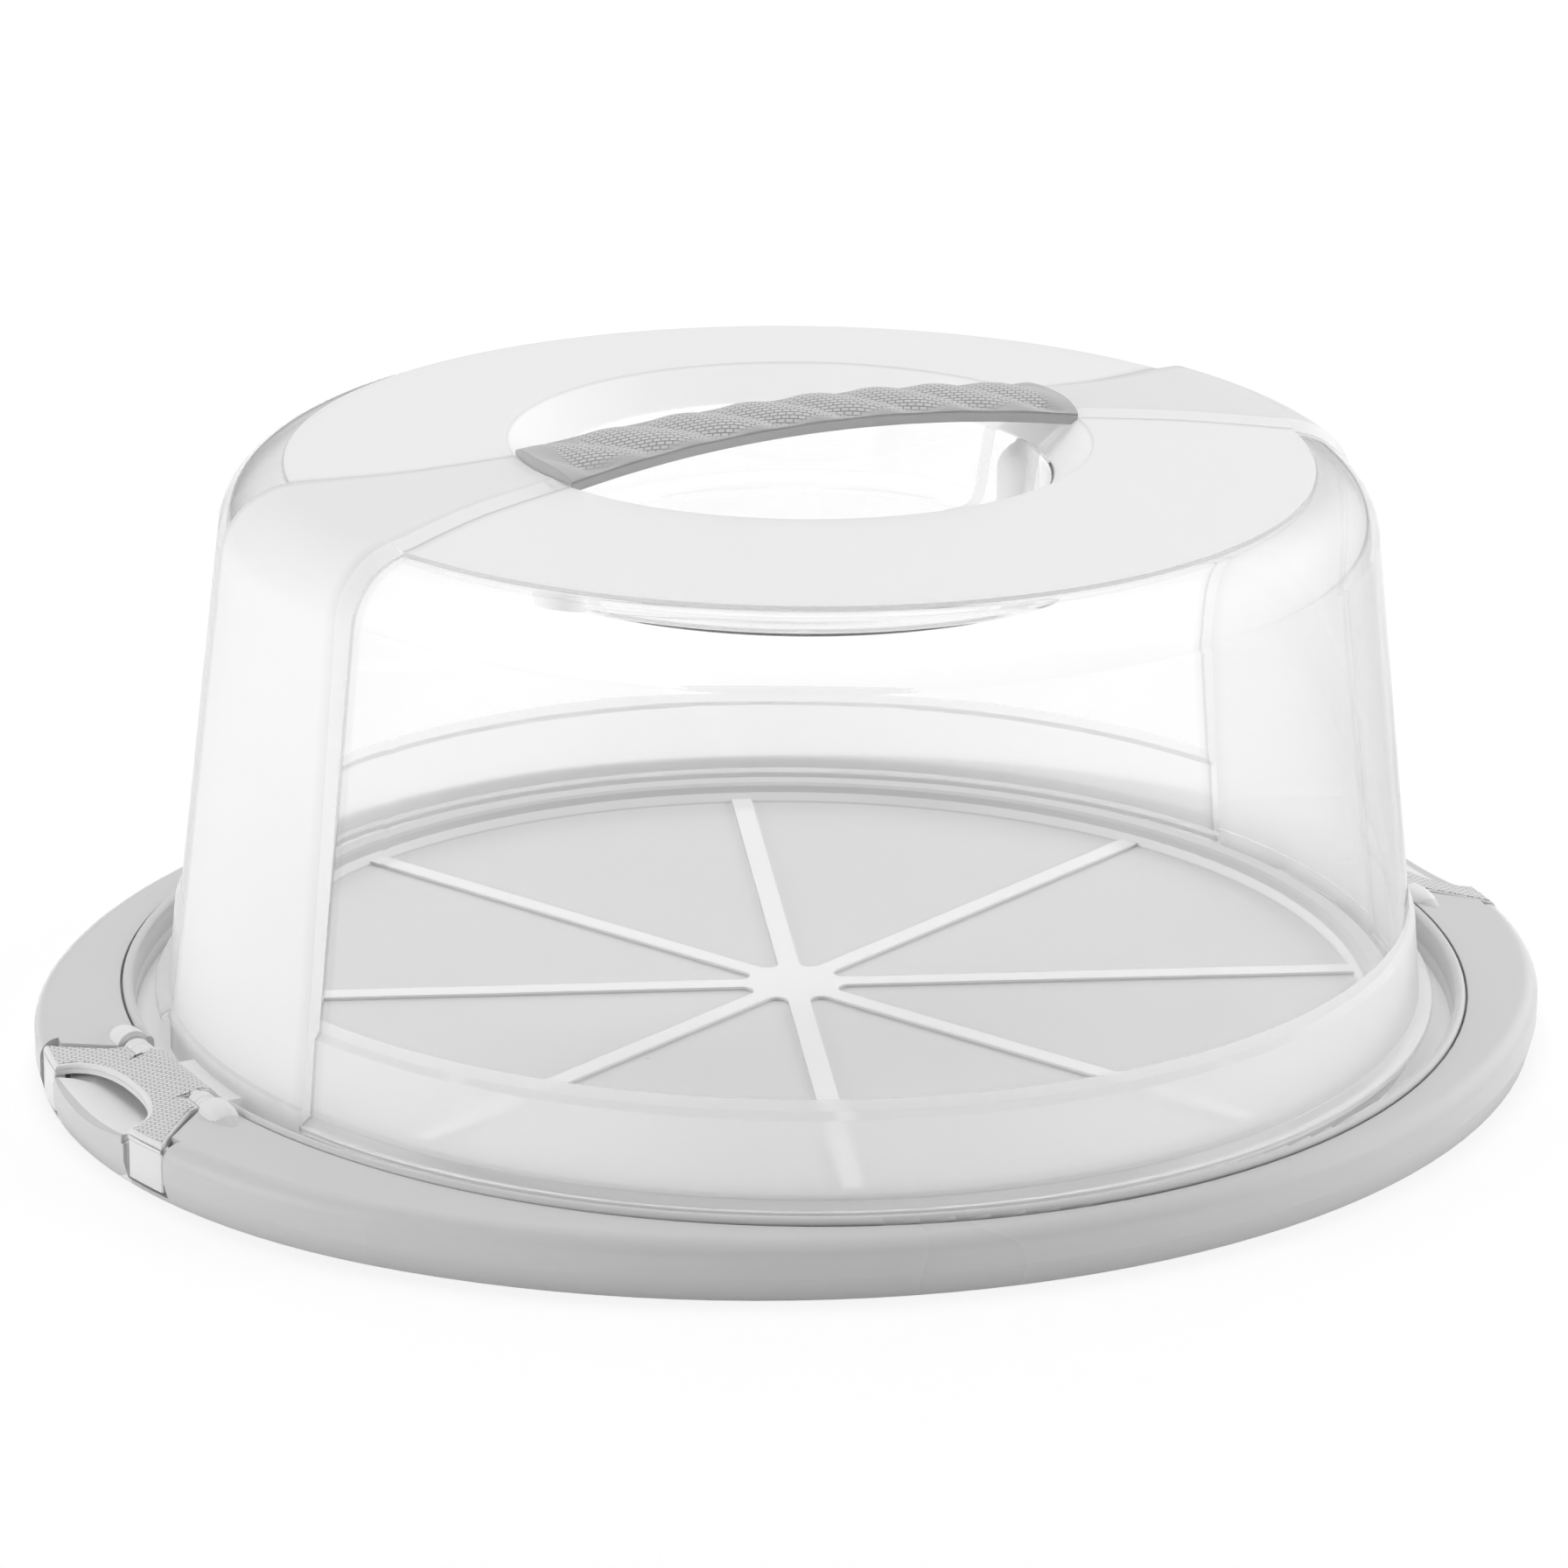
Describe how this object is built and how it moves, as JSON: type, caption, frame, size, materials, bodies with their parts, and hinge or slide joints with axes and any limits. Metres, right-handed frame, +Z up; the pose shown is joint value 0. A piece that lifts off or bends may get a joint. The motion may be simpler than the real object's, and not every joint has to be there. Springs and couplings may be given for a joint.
{
  "type": "cake carrier",
  "caption": "Round cake carrier: an oval-rimmed tray with portion ribs, a clear lift-off dome with raised straps, a grip across a bowl in its crown, and hinged side latches.",
  "frame": {"origin": "centre of the tray on the table plane, under the middle of the dome", "axes": "+X along the handle towards the right-hand latch, +Y across it to the back, +Z up"},
  "size_m": [0.35, 0.317, 0.1484],
  "materials": {
    "tray": "light grey satin moulded polypropylene",
    "dome": "clear moulded plastic with frosted crown, straps and foot band",
    "handle_bar": "mid grey satin moulded plastic",
    "handle_grip": "mid grey soft overmould with a fine diamond texture",
    "latch": "light grey satin moulded plastic",
    "latch_pad": "grey soft pad with a fine diamond texture"
  },
  "bodies": {
    "tray": {"tray": "tray"},
    "dome": {"dome": "dome", "hand_bowl": "dome", "handle_bar": "handle_bar", "handle_grip": "handle_grip"},
    "latch_left": {"latch_left": "latch", "latch_pad_left": "latch_pad"},
    "latch_right": {"latch_right": "latch", "latch_pad_right": "latch_pad"}
  },
  "joints": [
    {"name": "dome_lift", "type": "slide", "parent": "tray", "child": "dome", "axis": [0, 0, 1], "range_m": [0, 0.2]},
    {"name": "latch_left_hinge", "type": "hinge", "parent": "tray", "child": "latch_left", "pos_m": [-0.1534, 0, 0.0124], "axis": [0, 1, 0], "range_deg": [0, 75]},
    {"name": "latch_right_hinge", "type": "hinge", "parent": "tray", "child": "latch_right", "pos_m": [0.1534, 0, 0.0124], "axis": [0, -1, 0], "range_deg": [0, 75]}
  ]
}
